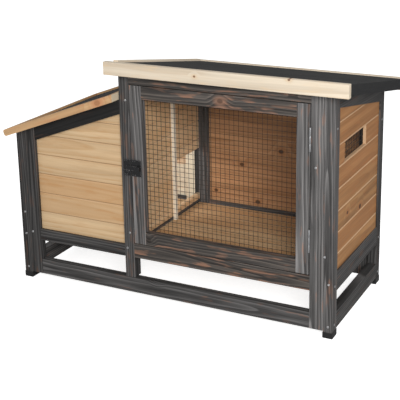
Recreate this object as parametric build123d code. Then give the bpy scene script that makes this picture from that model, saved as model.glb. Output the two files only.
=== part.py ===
from build123d import *
import math
import os

# Rabbit hutch: a cabin with a wire door, and a nest box beside it under a lean-to lid.
# The datum is the outer front corner of the left front leg, at floor level.
# X runs along the front, Y from front to back, Z up. All sizes are in millimetres.

# Overall sizes
body_length = 1150.0        # over the end frames
body_depth = 475.0          # over the front and back legs
nest_width = 418.0          # from the left end to the middle posts
front_height = 774.0        # underside of the main roof over the front face
nest_drop = 245.5           # underside of the nest lid over the left end, below the main roof's
roof_pitch = 10.4           # degrees, falls to the back
lid_pitch = 20.55           # degrees, falls to the left

# Timber sections
leg_thickness = 30.0        # along X
leg_width = 38.0            # along Y
stile_width = 46.0          # front and back stiles beside the legs
stile_thickness = 25.0      # along Y, also the front and back rails
mid_post_width = 36.0
cabin_stile_width = 52.0    # back stile beside the partition
wall_board = 10.0           # thickness of the wall boards
wall_board_pitch = 69.0
wall_recess = 6.0           # end and back wall boards behind the frame's face
nest_front_recess = 13.0    # nest front boards behind the frame's face
wall_board_start = 17.0     # first joint of the end and back boards, under the rail's top
nest_board_start = 7.0      # the same of the nest's front boards
tongue_depth = 8.0          # how far boards enter the grooves of the frame
board_bevel = 2.4
board_gap = 0.3             # between neighbouring boards
groove_clearance = 0.2

# Rail levels
lower_rail_bottom = 22.0
lower_rail_height = 54.0
mid_rail_bottom = 148.0
side_mid_rail_height = 62.0
nest_mid_rail_height = 40.0
floor_top = 197.0
floor_thickness = 12.0
floor_board_pitch = 61.0
bearer_height = 20.0
bearer_width = 18.0
top_rail_height = 43.0      # end and back walls, under the roof
nest_top_rail_height = 48.0

# Feet
foot_height = 20.0
foot_base = 3.0
foot_wall = 1.5

# Door
door_gap = 2.5
door_end_gap = 3.0          # under and over the door
header_height = 35.0        # at the front, above the door
door_thickness = 25.0
door_stile_width = 43.0
door_rail_width = 43.0
mesh_pitch = 16.0
wire = 1.5
mesh_lap = 9.0              # mesh behind the frame round its opening

# Partition between cabin and nest
partition_board = 12.0
partition_door_gap = 1.0    # the boards' front edge is the door's stop
partition_sill_height = 13.0
pop_hole_start = 262.0      # from the front face; it reaches back to the wall
pop_hole_rise = 22.0        # board left under the hole
pop_hole_height = 173.0
pop_batten_width = 14.0
pop_batten_thickness = 12.0
ledger_height = 45.0

# Vent in the right end wall
vent_start = 102.0
vent_length = 203.0
vent_boards_above = 1       # whole boards between the vent and the top rail at its back
vent_margin = 3.0

# Main roof
roof_front_overhang = 23.0
roof_back_overhang = 63.0
roof_right_overhang = 52.0
roof_batten = 20.0
roof_batten_width = 45.0
roof_deck = 11.0
felt = 1.8
fascia_height = 42.0
fascia_thickness = 18.0
fascia_left_overhang = 28.0
fascia_proud = 2.5
verge_thickness = 17.0
verge_proud = 7.0

# Nest lid
lid_overhang = 18.0         # past the left end, measured on the underside
lid_side_overhang = 38.0    # past the front and back
lid_thickness = 23.0
lid_batten_width = 45.0
lid_deck = 9.0
lid_deck_drop = 8.0         # deck top under the battens' top
lid_round = 8.0
lid_gap = 3.0               # between the lid and the cabin's posts

# Hinges
knuckle_radius = 3.0
pin_radius = 1.3
pin_clearance = 0.05
pin_head = 1.5
pin_head_lip = 0.9
leaf = 1.1
leaf_width = 22.0
door_hinge_length = 72.0
door_hinge_top_inset = 107.0     # from the door's ends to the hinges' middles
door_hinge_bottom_inset = 111.0
lid_hinge_length = 60.0
lid_hinge_depths = (95.0, 380.0)
knuckle_gap = 0.3

# Latch
latch_rise = 262.0          # above the door's foot
latch_pivot_inset = 27.0    # from the door's free edge
latch_plate_width = 34.0
latch_plate_height = 56.0
latch_plate_thickness = 3.0
latch_arm_length = 44.0
latch_arm_height = 15.0
latch_arm_thickness = 3.5
latch_knob_radius = 9.5
latch_knob_height = 9.0
latch_pin_radius = 3.5
keeper_width = 26.0
keeper_shelf = 5.0
latch_clearance = 0.4

# Screws
screw_radius = 4.0
screw_proud = 1.0

# Derived levels and places
roof_slope = math.tan(math.radians(roof_pitch))
lid_sin = math.sin(math.radians(lid_pitch))
lid_cos = math.cos(math.radians(lid_pitch))
lid_slope = lid_sin / lid_cos
roof_rise = 1.0 / math.cos(math.radians(roof_pitch))
lower_rail_top = lower_rail_bottom + lower_rail_height
side_mid_rail_top = mid_rail_bottom + side_mid_rail_height
nest_mid_rail_top = mid_rail_bottom + nest_mid_rail_height
floor_bottom = floor_top - floor_thickness
mid_post_right = nest_width + mid_post_width
right_stile_left = body_length - leg_thickness - stile_width
left_stile_right = leg_thickness + stile_width
inner_back = body_depth - stile_thickness
back_leg_front = body_depth - leg_width
door_left = mid_post_right + door_gap
door_right = right_stile_left - lid_gap
header_bottom = front_height - header_height
door_bottom = floor_top + door_end_gap
door_top = header_bottom - door_end_gap
nest_eave_height = front_height - nest_drop
latch_height = door_bottom + latch_rise
partition_right = mid_post_right + partition_board
cabin_stile_right = mid_post_right + cabin_stile_width
roof_back = body_depth + roof_back_overhang
roof_right = body_length + roof_right_overhang
lid_right = nest_width - lid_gap


def box(x0, x1, y0, y1, z0, z1):
    centre = Pos((x0 + x1) / 2, (y0 + y1) / 2, (z0 + z1) / 2)
    return centre * Box(x1 - x0, y1 - y0, z1 - z0)


def front_prism(points, y0, y1):
    """Extrude an outline of (x, z) points from y0 back to y1."""
    face = Plane.XZ.offset(-y0) * Polygon(*points, align=None)
    return extrude(face, amount=y1 - y0, dir=(0, 1, 0))


def end_prism(points, x0, x1):
    """Extrude an outline of (y, z) points from x0 right to x1."""
    face = Plane.YZ.offset(x0) * Polygon(*points, align=None)
    return extrude(face, amount=x1 - x0, dir=(1, 0, 0))


def solids_of(shape):
    return list(shape.solids())


def cut(shape, *tools):
    for tool in tools:
        shape = shape - tool
    return shape


def roof_under(y):
    return front_height - y * roof_slope


def roof_level(y, layer):
    """Height of a roof layer, layer being its distance square to the underside."""
    return roof_under(y) + layer * roof_rise


def lid_under(x):
    return nest_eave_height + x * lid_slope


def lid_point(x_at_under, layer):
    """A point of the lid's section: along its underside to x, then square out by layer."""
    return (x_at_under - layer * lid_sin, lid_under(x_at_under) + layer * lid_cos)


def lid_at(x, layer):
    """A point of the lid's section at the given x, layer above the underside."""
    return lid_point(x + layer * lid_sin, layer)


# Boards

def board_profile(width, thickness):
    """Section of one board, bevelled along both outer edges: (across, height) points."""
    return [
        (thickness, 0),
        (thickness, width),
        (board_bevel, width),
        (0, width - board_bevel),
        (0, board_bevel),
        (board_bevel, 0),
    ]


def end_wall_boards(outline, face_x, inward, first_level):
    """Horizontal boards of an end wall, cut to an outline of (y, z) points."""
    low = min(z for _, z in outline)
    high = max(z for _, z in outline)
    y0 = min(y for y, _ in outline)
    y1 = max(y for y, _ in outline)
    wall = end_prism(outline, min(face_x, face_x + inward * wall_board),
                     max(face_x, face_x + inward * wall_board))
    boards = []
    count = math.ceil((high - first_level) / wall_board_pitch)
    start = math.floor((low - first_level) / wall_board_pitch)
    for index in range(start, count):
        z = first_level + index * wall_board_pitch
        section = [(face_x + inward * a, z + board_gap / 2 + h)
                   for a, h in board_profile(wall_board_pitch - board_gap, wall_board)]
        boards += solids_of(front_prism(section, y0, y1) & wall)
    return boards


def long_wall_boards(outline, face_y, inward, first_level):
    """Horizontal boards of a front or back wall, cut to an outline of (x, z) points."""
    low = min(z for _, z in outline)
    high = max(z for _, z in outline)
    x0 = min(x for x, _ in outline)
    x1 = max(x for x, _ in outline)
    wall = front_prism(outline, min(face_y, face_y + inward * wall_board),
                       max(face_y, face_y + inward * wall_board))
    boards = []
    count = math.ceil((high - first_level) / wall_board_pitch)
    start = math.floor((low - first_level) / wall_board_pitch)
    for index in range(start, count):
        z = first_level + index * wall_board_pitch
        section = [(face_y + inward * a, z + board_gap / 2 + h)
                   for a, h in board_profile(wall_board_pitch - board_gap, wall_board)]
        boards += solids_of(end_prism(section, x0, x1) & wall)
    return boards


# Wall outlines: the visible opening of each frame, let into it by the tongue depth

def right_wall_outline(margin):
    y0 = leg_width - margin
    y1 = back_leg_front + margin
    top = margin - top_rail_height
    return [
        (y0, side_mid_rail_top - margin),
        (y1, side_mid_rail_top - margin),
        (y1, roof_under(y1) + top),
        (y0, roof_under(y0) + top),
    ]


def left_wall_outline(margin):
    y0 = leg_width - margin
    y1 = back_leg_front + margin
    top = nest_eave_height - top_rail_height + margin
    return [
        (y0, side_mid_rail_top - margin),
        (y1, side_mid_rail_top - margin),
        (y1, top),
        (y0, top),
    ]


def nest_wall_outline(margin, bottom):
    x0 = left_stile_right - margin
    x1 = nest_width + margin
    top = margin - nest_top_rail_height
    return [
        (x0, bottom - margin),
        (x1, bottom - margin),
        (x1, lid_under(x1) + top),
        (x0, lid_under(x0) + top),
    ]


def cabin_back_outline(margin):
    top = roof_under(body_depth) - top_rail_height + margin
    return [
        (cabin_stile_right - margin, side_mid_rail_top - margin),
        (right_stile_left + margin, side_mid_rail_top - margin),
        (right_stile_left + margin, top),
        (cabin_stile_right - margin, top),
    ]


margin = tongue_depth + groove_clearance
right_face = body_length - wall_recess
left_face = wall_recess
back_face = body_depth - wall_recess
right_groove = end_prism(right_wall_outline(margin), right_face - wall_board - groove_clearance,
                         right_face + groove_clearance)
left_groove = end_prism(left_wall_outline(margin), left_face - groove_clearance,
                        left_face + wall_board + groove_clearance)
nest_front_groove = front_prism(nest_wall_outline(margin, nest_mid_rail_top),
                                nest_front_recess - groove_clearance,
                                nest_front_recess + wall_board + groove_clearance)
nest_back_groove = front_prism(nest_wall_outline(margin, side_mid_rail_top),
                               back_face - wall_board - groove_clearance,
                               back_face + groove_clearance)
cabin_back_groove = front_prism(cabin_back_outline(margin),
                                back_face - wall_board - groove_clearance,
                                back_face + groove_clearance)

parts = {}


def add(name, *shapes):
    """Keep the solids of one named piece, or of one group of like pieces."""
    found = []
    for shape in shapes:
        found += solids_of(shape)
    parts[name] = found


# End frames: two legs each, with rails and boards between them

def right_leg(y0, groove):
    y1 = y0 + leg_width
    outline = [(y0, foot_base), (y1, foot_base), (y1, roof_under(y1)), (y0, roof_under(y0))]
    return cut(end_prism(outline, body_length - leg_thickness, body_length), groove)


def left_leg(y0, groove):
    outline = [(0, foot_base), (leg_thickness, foot_base),
               (leg_thickness, lid_under(leg_thickness)), (0, lid_under(0))]
    return cut(front_prism(outline, y0, y0 + leg_width), groove)


def make_end_frames():
    add("right_front_leg", right_leg(0, right_groove))
    add("right_back_leg", right_leg(back_leg_front, right_groove))
    add("left_front_leg", left_leg(0, left_groove))
    add("left_back_leg", left_leg(back_leg_front, left_groove))
    x0 = body_length - leg_thickness
    y0 = leg_width
    y1 = back_leg_front
    top = [(y0, roof_under(y0) - top_rail_height), (y1, roof_under(y1) - top_rail_height),
           (y1, roof_under(y1)), (y0, roof_under(y0))]
    add("right_end_rails",
        cut(end_prism(top, x0, body_length), right_groove),
        cut(box(x0, body_length, y0, y1, mid_rail_bottom, side_mid_rail_top), right_groove),
        box(x0, body_length, y0, y1, lower_rail_bottom, lower_rail_top))
    left_top = [(0, nest_eave_height - top_rail_height),
                (leg_thickness, nest_eave_height - top_rail_height),
                (leg_thickness, lid_under(leg_thickness)), (0, lid_under(0))]
    add("left_end_rails",
        cut(front_prism(left_top, y0, y1), left_groove),
        cut(box(0, leg_thickness, y0, y1, mid_rail_bottom, side_mid_rail_top), left_groove),
        box(0, leg_thickness, y0, y1, lower_rail_bottom, lower_rail_top))
    add("left_end_boards",
        *end_wall_boards(left_wall_outline(tongue_depth), left_face, 1,
                         side_mid_rail_top - wall_board_start))


def make_right_wall():
    first = side_mid_rail_top - wall_board_start
    ceiling = roof_under(vent_start + vent_length) - top_rail_height
    below = math.floor((ceiling - first) / wall_board_pitch) - vent_boards_above
    low = first + below * wall_board_pitch + vent_margin
    high = first + (below + 1) * wall_board_pitch - vent_margin
    hole = box(right_face - 2 * wall_board, right_face + wall_board,
               vent_start, vent_start + vent_length, low, high)
    boards = end_wall_boards(right_wall_outline(tongue_depth), right_face, -1, first)
    add("right_end_boards", *[cut(board, hole) for board in boards])
    inner = right_face - wall_board
    add("vent_mesh", *mesh_wires(
        vent_start - mesh_lap, vent_start + vent_length + mesh_lap, low - mesh_lap, high + mesh_lap,
        lambda a0, a1, z0, z1, layer: box(inner - (layer + 1) * wire, inner - layer * wire,
                                          a0, a1, z0, z1)))


def mesh_wires(a0, a1, z0, z1, place):
    """Welded mesh: upright wires in one layer and cross wires in the next."""
    wires = []
    columns = int((a1 - a0 - wire) / mesh_pitch)
    rows = int((z1 - z0 - wire) / mesh_pitch)
    side = (a1 - a0 - columns * mesh_pitch) / 2
    foot = (z1 - z0 - rows * mesh_pitch) / 2
    for index in range(columns + 1):
        at = a0 + side + index * mesh_pitch
        wires.append(place(at - wire / 2, at + wire / 2, z0, z1, 0))
    for index in range(rows + 1):
        at = z0 + foot + index * mesh_pitch
        wires.append(place(a0, a1, at - wire / 2, at + wire / 2, 1))
    return wires


def make_feet():
    caps = []
    for x0 in (0, body_length - leg_thickness):
        for y0 in (0, back_leg_front):
            outer = box(x0 - foot_wall, x0 + leg_thickness + foot_wall,
                        y0 - foot_wall, y0 + leg_width + foot_wall, 0, foot_height)
            leg = box(x0, x0 + leg_thickness, y0, y0 + leg_width, foot_base, foot_height + 1)
            caps.append(outer - leg)
    add("foot_caps", *caps)


# Front

def make_front():
    add("front_mid_post",
        cut(end_prism([(0, lower_rail_top), (leg_width, lower_rail_top),
                       (leg_width, roof_under(leg_width)), (0, roof_under(0))],
                      nest_width, mid_post_right), nest_front_groove))
    add("front_right_stile",
        end_prism([(0, lower_rail_bottom), (stile_thickness, lower_rail_bottom),
                   (stile_thickness, roof_under(stile_thickness)), (0, roof_under(0))],
                  right_stile_left, body_length - leg_thickness))
    add("front_header",
        end_prism([(0, header_bottom), (stile_thickness, header_bottom),
                   (stile_thickness, roof_under(stile_thickness)), (0, roof_under(0))],
                  mid_post_right, right_stile_left))
    add("front_sill",
        box(mid_post_right, right_stile_left, 0, stile_thickness, mid_rail_bottom, floor_top))
    add("front_lower_rail",
        box(left_stile_right, right_stile_left, 0, stile_thickness,
            lower_rail_bottom, lower_rail_top))
    stile = [(leg_thickness, lower_rail_bottom), (left_stile_right, lower_rail_bottom),
             (left_stile_right, lid_under(left_stile_right)),
             (leg_thickness, lid_under(leg_thickness))]
    add("nest_front_stile", cut(front_prism(stile, 0, stile_thickness), nest_front_groove))
    add("nest_front_top_rail",
        cut(front_prism(nest_top_rail_outline(), 0, stile_thickness), nest_front_groove))
    add("nest_front_mid_rail",
        cut(box(left_stile_right, nest_width, 0, stile_thickness,
                mid_rail_bottom, nest_mid_rail_top), nest_front_groove))
    add("nest_front_boards",
        *long_wall_boards(nest_wall_outline(tongue_depth, nest_mid_rail_top),
                          nest_front_recess, 1, nest_mid_rail_top - nest_board_start))


def nest_top_rail_outline():
    x0 = left_stile_right
    x1 = nest_width
    return [(x0, lid_under(x0) - nest_top_rail_height), (x1, lid_under(x1) - nest_top_rail_height),
            (x1, lid_under(x1)), (x0, lid_under(x0))]


# Back

def make_back():
    y0 = inner_back
    y1 = body_depth
    left = [(leg_thickness, lower_rail_bottom), (left_stile_right, lower_rail_bottom),
            (left_stile_right, lid_under(left_stile_right)),
            (leg_thickness, lid_under(leg_thickness))]
    right = [(y0, lower_rail_bottom), (y1, lower_rail_bottom), (y1, roof_under(y1)),
             (y0, roof_under(y0))]
    add("back_stiles",
        cut(front_prism(left, y0, y1), nest_back_groove),
        cut(end_prism(right, right_stile_left, body_length - leg_thickness), cabin_back_groove))
    add("back_mid_post",
        cut(end_prism([(back_leg_front, lower_rail_top), (y1, lower_rail_top),
                       (y1, roof_under(y1)), (back_leg_front, roof_under(back_leg_front))],
                      nest_width, mid_post_right), nest_back_groove))
    add("cabin_back_stile",
        cut(end_prism([(y0, mid_rail_bottom), (y1, mid_rail_bottom), (y1, roof_under(y1)),
                       (y0, roof_under(y0))], mid_post_right, cabin_stile_right),
            cabin_back_groove))
    low = roof_under(y1) - top_rail_height
    add("cabin_back_rails",
        cut(end_prism([(y0, low), (y1, low), (y1, roof_under(y1)), (y0, roof_under(y0))],
                      cabin_stile_right, right_stile_left), cabin_back_groove),
        cut(box(cabin_stile_right, right_stile_left, y0, y1, mid_rail_bottom,
                side_mid_rail_top), cabin_back_groove))
    add("back_lower_rail",
        box(left_stile_right, right_stile_left, y0, y1, lower_rail_bottom, lower_rail_top))
    add("cabin_back_boards",
        *long_wall_boards(cabin_back_outline(tongue_depth), back_face, -1,
                          side_mid_rail_top - wall_board_start))
    add("nest_back_rails",
        cut(front_prism(nest_top_rail_outline(), y0, y1), nest_back_groove),
        cut(box(left_stile_right, nest_width, y0, y1, mid_rail_bottom, side_mid_rail_top),
            nest_back_groove))
    add("nest_back_boards",
        *long_wall_boards(nest_wall_outline(tongue_depth, side_mid_rail_top), back_face, -1,
                          side_mid_rail_top - wall_board_start))


# Partition, floors

def make_partition():
    sill_top = floor_top + partition_sill_height
    y0 = door_thickness + partition_door_gap
    wall = [(y0, sill_top), (inner_back, sill_top), (inner_back, roof_under(inner_back)),
            (y0, roof_under(y0))]
    hole_foot = sill_top + pop_hole_rise
    hole = box(mid_post_right - 1, partition_right + 1, pop_hole_start, body_depth,
               hole_foot, hole_foot + pop_hole_height)
    sheet = end_prism(wall, mid_post_right, partition_right)
    boards = []
    count = math.ceil((roof_under(y0) - hole_foot) / wall_board_pitch)
    start = -math.ceil(pop_hole_rise / wall_board_pitch)
    for index in range(start, count):
        z = hole_foot + index * wall_board_pitch
        section = [(partition_right - a, z + board_gap / 2 + h)
                   for a, h in board_profile(wall_board_pitch - board_gap, partition_board)]
        boards += solids_of(cut(front_prism(section, y0, inner_back) & sheet, hole))
    add("partition_boards", *boards)
    add("partition_sill",
        box(mid_post_right, partition_right, y0, inner_back, floor_top, sill_top))
    pop0 = pop_hole_start - pop_batten_width
    pop = [(pop0, floor_top), (pop_hole_start, floor_top),
           (pop_hole_start, roof_under(pop_hole_start)), (pop0, roof_under(pop0))]
    add("pop_hole_batten",
        end_prism(pop, partition_right, partition_right + pop_batten_thickness))
    top = lid_under(lid_right)
    add("nest_ledger",
        box(nest_width, mid_post_right, leg_width, back_leg_front, top - ledger_height, top))
    upper = [(leg_width, top), (back_leg_front, top), (back_leg_front, roof_under(back_leg_front)),
             (leg_width, roof_under(leg_width))]
    add("upper_left_board", end_prism(upper, nest_width, nest_width + partition_board))


def floor_boards(x0, x1, *notches):
    boards = []
    count = math.ceil((inner_back - stile_thickness) / floor_board_pitch)
    pitch = (inner_back - stile_thickness) / count
    for index in range(count):
        y0 = stile_thickness + index * pitch
        outline = [(y0 + board_gap / 2, floor_bottom), (y0 + pitch - board_gap / 2, floor_bottom),
                   (y0 + pitch - board_gap / 2, floor_top - board_bevel),
                   (y0 + pitch - board_bevel, floor_top), (y0 + board_bevel, floor_top),
                   (y0 + board_gap / 2, floor_top - board_bevel)]
        boards.append(cut(end_prism(outline, x0, x1), *notches))
    return boards


def make_floors():
    left = leg_thickness
    right = body_length - leg_thickness
    posts = [box(nest_width, mid_post_right, 0, leg_width, 0, front_height),
             box(nest_width, mid_post_right, back_leg_front, body_depth, 0, front_height)]
    add("nest_floor", *floor_boards(left, mid_post_right, *posts))
    add("cabin_floor", *floor_boards(mid_post_right, right))
    z0 = floor_bottom - bearer_height
    bearers = []
    for x0, x1 in ((left_stile_right, nest_width), (mid_post_right, right_stile_left)):
        bearers.append(box(x0, x1, stile_thickness, stile_thickness + bearer_width,
                           z0, floor_bottom))
        bearers.append(box(x0, x1, inner_back - bearer_width, inner_back, z0, floor_bottom))
        middle = (x0 + x1) / 2
        bearers.append(box(middle - bearer_width / 2, middle + bearer_width / 2,
                           stile_thickness + bearer_width, inner_back - bearer_width,
                           z0, floor_bottom))
    add("floor_bearers", *bearers)


# Main roof

def roof_layer(x0, x1, y0, y1, low, high):
    outline = [(y0, roof_level(y0, low)), (y1, roof_level(y1, low)),
               (y1, roof_level(y1, high)), (y0, roof_level(y0, high))]
    return end_prism(outline, x0, x1)


def make_main_roof():
    x0 = nest_width + verge_thickness
    x1 = roof_right - felt
    y0 = -roof_front_overhang
    y1 = roof_back
    w = roof_batten_width
    deck_low = roof_batten
    deck_high = roof_batten + roof_deck
    top = deck_high + felt
    wall_batten = body_length - leg_thickness
    add("main_roof_battens",
        roof_layer(x0, x1, y0, y0 + w, 0, deck_low),
        roof_layer(x0, x1, y1 - w, y1, 0, deck_low),
        roof_layer(x0, wall_batten, inner_back, body_depth, 0, deck_low),
        roof_layer(x0, partition_right, y0 + w, inner_back, 0, deck_low),
        roof_layer(wall_batten, x1, y0 + w, y1 - w, 0, deck_low))
    add("main_roof_deck", roof_layer(x0, x1, y0, y1, deck_low, deck_high))
    add("main_roof_felt",
        roof_layer(x0, roof_right, y0, y1, deck_high, top)
        + roof_layer(x1, roof_right, y0, y1, 0, top))
    front_top = roof_level(y0, top) + fascia_proud
    add("main_roof_front_fascia",
        box(nest_width - fascia_left_overhang, roof_right, y0 - fascia_thickness, y0,
            front_top - fascia_height, front_top))
    back_top = roof_level(y1, top) + fascia_proud
    add("main_roof_back_fascia",
        box(nest_width, roof_right, y1, y1 + fascia_thickness, back_top - fascia_height, back_top))
    add("main_roof_verge", roof_layer(nest_width, x0, y0, y1, 0, top + verge_proud))


# Nest lid

def lid_batten(x_from, x_to, y0, y1):
    """A batten of the lid; one that starts at the eave has its end rounded."""
    points = [lid_point(x_from, 0), lid_at(x_to, 0), lid_at(x_to, lid_thickness),
              lid_point(x_from, lid_thickness)]
    face = Polygon(*points, align=None)
    if x_from < 0:
        face = fillet(face.vertices().sort_by(Axis.X)[:2], lid_round)
    return extrude(Plane.XZ.offset(-y0) * face, amount=y1 - y0, dir=(0, 1, 0))


def make_nest_lid():
    y0 = -lid_side_overhang
    y1 = body_depth + lid_side_overhang
    w = lid_batten_width
    eave = -lid_overhang
    add("nest_lid_battens",
        lid_batten(eave, lid_right, y0, y0 + w),
        lid_batten(eave, lid_right, y1 - w, y1),
        lid_batten(eave, eave + w, y0 + w, y1 - w),
        lid_strip(lid_right - w, lid_right, y0 + w, y1 - w, 0, lid_thickness))
    high = lid_thickness - lid_deck_drop
    inner_left = eave + w
    inner_right = lid_right - w
    add("nest_lid_deck",
        lid_strip(inner_left, inner_right, y0 + w, y1 - w, high - lid_deck, high))
    add("nest_lid_felt",
        lid_strip(inner_left, inner_right, y0 + w, y1 - w, high, high + felt))


def lid_strip(x_from, x_to, y0, y1, low, high):
    """A layer of the lid between two upright planes."""
    points = [lid_at(x_from, low), lid_at(x_to, low), lid_at(x_to, high), lid_at(x_from, high)]
    return front_prism(points, y0, y1)


# Door

def make_door():
    z0 = door_bottom
    z1 = door_top
    left_in = door_left + door_stile_width
    right_in = door_right - door_stile_width
    add("door_left_stile", box(door_left, left_in, 0, door_thickness, z0, z1))
    add("door_right_stile", box(right_in, door_right, 0, door_thickness, z0, z1))
    add("door_top_rail", box(left_in, right_in, 0, door_thickness, z1 - door_rail_width, z1))
    add("door_bottom_rail", box(left_in, right_in, 0, door_thickness, z0, z0 + door_rail_width))
    add("door_mesh", *mesh_wires(
        left_in - mesh_lap, right_in + mesh_lap,
        z0 + door_rail_width - mesh_lap, z1 - door_rail_width + mesh_lap,
        lambda a0, a1, b0, b1, layer: box(a0, a1, door_thickness + layer * wire,
                                          door_thickness + (layer + 1) * wire, b0, b1)))


# Hinges: the barrel lies along local Z, the leaves reach back along local Y

def hinge_leaf(length, x0):
    return Pos(x0 + leaf / 2, leaf_width / 2, 0) * Box(leaf, leaf_width, length)


def hinge_parts(length, fixed_x, moving_x):
    """Fixed leaf with the end knuckles, moving leaf with the middle one, and the pin."""
    third = length / 3
    bore = Cylinder(pin_radius + pin_clearance, length + 1)
    knuckle = Cylinder(knuckle_radius, third - knuckle_gap)
    clear = Cylinder(knuckle_radius + knuckle_gap, third + knuckle_gap)
    fixed = cut(hinge_leaf(length - knuckle_gap, fixed_x), clear)
    moving = hinge_leaf(length - knuckle_gap, moving_x)
    for z in (-third, third):
        fixed = fixed + Pos(0, 0, z) * knuckle
        moving = cut(moving, Pos(0, 0, z) * clear)
    moving = moving + knuckle
    pin = Cylinder(pin_radius, length)
    for z in (-1, 1):
        pin = pin + Pos(0, 0, z * (length - knuckle_gap + pin_head) / 2) * Cylinder(
            pin_radius + pin_head_lip, pin_head)
    return cut(fixed, bore), cut(moving, bore), pin


def make_hinges():
    door_x = (door_right + right_stile_left) / 2
    half = (right_stile_left - door_right) / 2
    fixed_leaves = []
    moving_leaves = []
    pins = []
    for z in (door_bottom + door_hinge_bottom_inset, door_top - door_hinge_top_inset):
        place = Pos(door_x, -knuckle_radius - groove_clearance, z)
        fixed, moving, pin = hinge_parts(door_hinge_length, half - leaf, -half)
        fixed_leaves.append(place * fixed)
        moving_leaves.append(place * moving)
        pins.append(place * pin)
    add("door_hinge_frame_leaves", *fixed_leaves)
    add("door_hinge_door_leaves", *moving_leaves)
    add("door_hinge_pins", *pins)
    fixed_leaves = []
    moving_leaves = []
    pins = []
    lid_top = lid_at(lid_right, lid_thickness)[1]
    axis_x = nest_width - knuckle_radius - groove_clearance
    for y in lid_hinge_depths:
        place = Pos(axis_x, y, lid_top + knuckle_radius + groove_clearance) * Rot(-90, 0, 0)
        fixed, moving, pin = hinge_parts(lid_hinge_length, nest_width - leaf - axis_x,
                                         lid_right - axis_x)
        fixed_leaves.append(place * fixed)
        moving_leaves.append(place * moving)
        pins.append(place * pin)
    add("lid_hinge_wall_leaves", *fixed_leaves)
    add("lid_hinge_lid_leaves", *moving_leaves)
    add("lid_hinge_pins", *pins)


# Latch: a plate and turning arm on the door, a keeper on the middle post

def facing(x, y, z):
    """A place on the front whose local Z points out of the front face."""
    return Pos(x, y, z) * Rot(90, 0, 0)


def make_latch():
    x = door_left + latch_pivot_inset
    z = latch_height
    t = latch_plate_thickness
    plate_x0 = door_left + 3 * latch_clearance
    plate = box(plate_x0, plate_x0 + latch_plate_width, -t, 0,
                z - latch_plate_height / 2, z + latch_plate_height / 2)
    bore = facing(x, -t / 2, z) * Cylinder(latch_pin_radius + pin_clearance, t + 1)
    add("latch_plate", plate - bore)
    arm_front = -t - latch_clearance - latch_arm_thickness
    arm = box(x - latch_arm_length, x, arm_front, -t - latch_clearance,
              z - latch_arm_height / 2, z + latch_arm_height / 2)
    hub = facing(x, (arm_front - t - latch_clearance) / 2, z) * Cylinder(
        latch_arm_height / 2 + 2, latch_arm_thickness)
    knob = facing(x, arm_front - latch_knob_height / 2, z) * Cylinder(
        latch_knob_radius, latch_knob_height)
    pin = facing(x, -(t + latch_clearance) / 2, z) * Cylinder(latch_pin_radius, t + latch_clearance)
    add("latch_turn", fillet((arm + hub + knob).edges().filter_by(GeomType.CIRCLE)
                             .sort_by(Axis.Y)[:1], 1.5) + pin)
    keeper_x1 = mid_post_right - 2 * latch_clearance
    keeper = box(keeper_x1 - keeper_width, keeper_x1, -t, 0,
                 z - latch_plate_height / 2, z + latch_plate_height / 2)
    shelf_top = z - latch_arm_height / 2 - latch_clearance
    shelf = box(keeper_x1 - keeper_width, keeper_x1, arm_front, -t,
                shelf_top - keeper_shelf, shelf_top)
    add("latch_keeper", keeper + shelf)


# Screw heads, set where the frame's joints are

def make_screws():
    heads = []
    front = [
        (leg_thickness / 2, mid_rail_bottom + 15), (leg_thickness / 2, side_mid_rail_top + 33),
        (leg_thickness / 2, lower_rail_bottom + 16), (leg_thickness + 13, nest_mid_rail_top - 14),
        (nest_width + 10, nest_mid_rail_top - 10), (nest_width + 22, nest_mid_rail_top + 46),
        (mid_post_right - 13, lid_under(nest_width)), (right_stile_left + 16, front_height - 230),
        (body_length - 14, lower_rail_bottom + 16), (body_length - 14, mid_rail_bottom + 30),
        (body_length - 28, side_mid_rail_top + 56),
    ]
    for x, z in front:
        heads.append(facing(x, -screw_proud / 2, z) * Cylinder(screw_radius, screw_proud))
    for y in (leg_width / 2, back_leg_front + leg_width / 2):
        for z in (lower_rail_bottom + 18, mid_rail_bottom + 20, roof_under(y) - 105):
            heads.append(Pos(body_length + screw_proud / 2, y, z) * Rot(0, 90, 0)
                         * Cylinder(screw_radius, screw_proud))
            left_z = min(z, nest_eave_height - top_rail_height / 2)
            heads.append(Pos(-screw_proud / 2, y, left_z) * Rot(0, 90, 0)
                         * Cylinder(screw_radius, screw_proud))
    add("frame_screws", *heads)


make_end_frames()
make_right_wall()
make_feet()
make_front()
make_back()
make_partition()
make_floors()
make_main_roof()
make_nest_lid()
make_door()
make_hinges()
make_latch()
make_screws()

# The origin is at floor level under the middle of the whole hutch
reach = [solid.bounding_box() for solids in parts.values() for solid in solids]
centre_x = (min(box.min.X for box in reach) + max(box.max.X for box in reach)) / 2
centre_y = (min(box.min.Y for box in reach) + max(box.max.Y for box in reach)) / 2

os.makedirs("parts", exist_ok=True)
for name, solids in parts.items():
    placed = [Pos(-centre_x, -centre_y, 0) * solid for solid in solids]
    shape = placed[0] if len(placed) == 1 else Compound(placed)
    export_step(shape, f"parts/{name}.step")
print(len(parts), "pieces; origin at datum", centre_x, centre_y)
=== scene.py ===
import math
import random

import bmesh
import bpy
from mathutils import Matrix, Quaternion, Vector


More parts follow.
